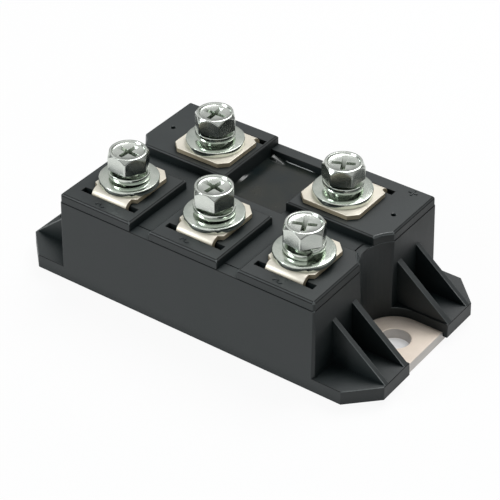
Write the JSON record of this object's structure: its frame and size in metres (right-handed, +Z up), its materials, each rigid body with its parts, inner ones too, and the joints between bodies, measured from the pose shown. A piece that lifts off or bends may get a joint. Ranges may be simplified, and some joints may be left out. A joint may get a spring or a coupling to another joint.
{
  "type": "power diode module",
  "caption": "Bridge rectifier module: black moulded case with screw terminals, ribbed mounting feet and a metal base plate for a heat sink.",
  "frame": {"origin": "middle of the base plate's underside", "axes": "+X along the module from the left foot to the right foot, +Y from the row of three input terminals to the row of two output terminals, +Z up out of the heat sink"},
  "size_m": [0.113, 0.0574, 0.04],
  "materials": {
    "case_plastic": "satin black glass-filled moulding",
    "nickel_plated_plate": null,
    "tinned_copper": null,
    "bare_copper": null,
    "white_ceramic": null,
    "diode_silicon": null,
    "clear_silicone": "soft clear filling",
    "zinc_plated_steel": "bright zinc plating",
    "polished_zinc_steel": "smooth bright zinc plating"
  },
  "bodies": {
    "root": {"base_plate": "nickel_plated_plate", "ceramic_substrate": "white_ceramic", "flat_washers": "polished_zinc_steel", "housing": "case_plastic", "input_1_copper_track": "bare_copper", "input_1_front_connection_clip": "bare_copper", "input_1_front_diode_chip": "diode_silicon", "input_1_rear_connection_clip": "bare_copper", "input_1_rear_diode_chip": "diode_silicon", "input_1_terminal": "tinned_copper", "input_2_copper_track": "bare_copper", "input_2_front_connection_clip": "bare_copper", "input_2_front_diode_chip": "diode_silicon", "input_2_rear_connection_clip": "bare_copper", "input_2_rear_diode_chip": "diode_silicon", "input_2_terminal": "tinned_copper", "input_3_copper_track": "bare_copper", "input_3_front_connection_clip": "bare_copper", "input_3_front_diode_chip": "diode_silicon", "input_3_rear_connection_clip": "bare_copper", "input_3_rear_diode_chip": "diode_silicon", "input_3_terminal": "tinned_copper", "minus_copper_track": "bare_copper", "minus_terminal": "tinned_copper", "plus_copper_track": "bare_copper", "plus_terminal": "tinned_copper", "silicone_filling": "clear_silicone", "spring_washers": "zinc_plated_steel", "substrate_back_copper": "bare_copper", "terminal_nuts": "zinc_plated_steel", "terminal_screws": "zinc_plated_steel", "top_cover": "case_plastic"}
  },
  "joints": []
}
